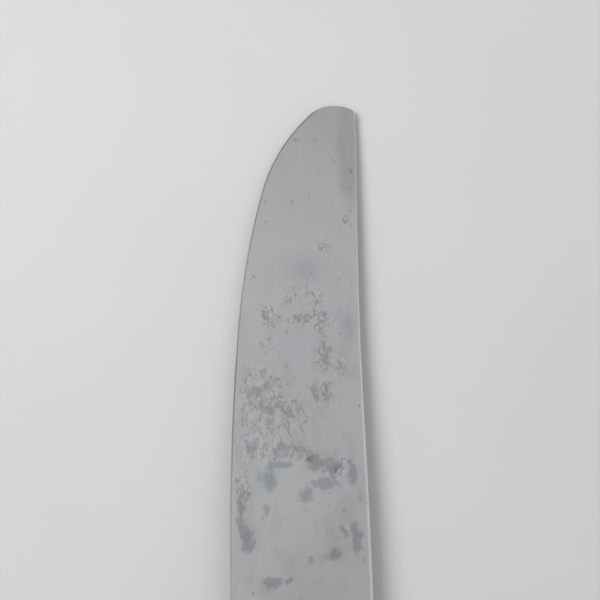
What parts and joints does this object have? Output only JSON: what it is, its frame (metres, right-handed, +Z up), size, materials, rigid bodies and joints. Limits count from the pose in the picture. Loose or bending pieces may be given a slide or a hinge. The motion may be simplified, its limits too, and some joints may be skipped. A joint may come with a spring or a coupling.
{
  "type": "bread knife",
  "caption": "Plain-edged bread knife with a blunt round tip, a full tang, pinned metal bolsters and riveted wooden handle scales.",
  "frame": {"origin": "centre of the bottom face of the knife's box: under the middle of its length and width, level with the flat right side of the handle", "axes": "+Y from the handle to the tip, +X from the cutting edge to the spine, +Z up through the thickness, towards the knife's left side"},
  "size_m": [0.0312, 0.3322, 0.016],
  "materials": {
    "blade_steel": "worn, stained, fine scratches along the blade",
    "bolster_metal": "worn satin",
    "handle_wood": "oiled, worn at the edges",
    "rivet_brass": "dull, ground flush"
  },
  "bodies": {
    "root": {"blade": "blade_steel", "bolster_left": "bolster_metal", "bolster_right": "bolster_metal", "bolster_pin_upper": "bolster_metal", "bolster_pin_lower": "bolster_metal", "scale_left": "handle_wood", "scale_right": "handle_wood", "rivet_front_socket": "rivet_brass", "rivet_front_post": "rivet_brass", "rivet_middle_socket": "rivet_brass", "rivet_middle_post": "rivet_brass", "rivet_rear_socket": "rivet_brass", "rivet_rear_post": "rivet_brass"}
  },
  "joints": []
}
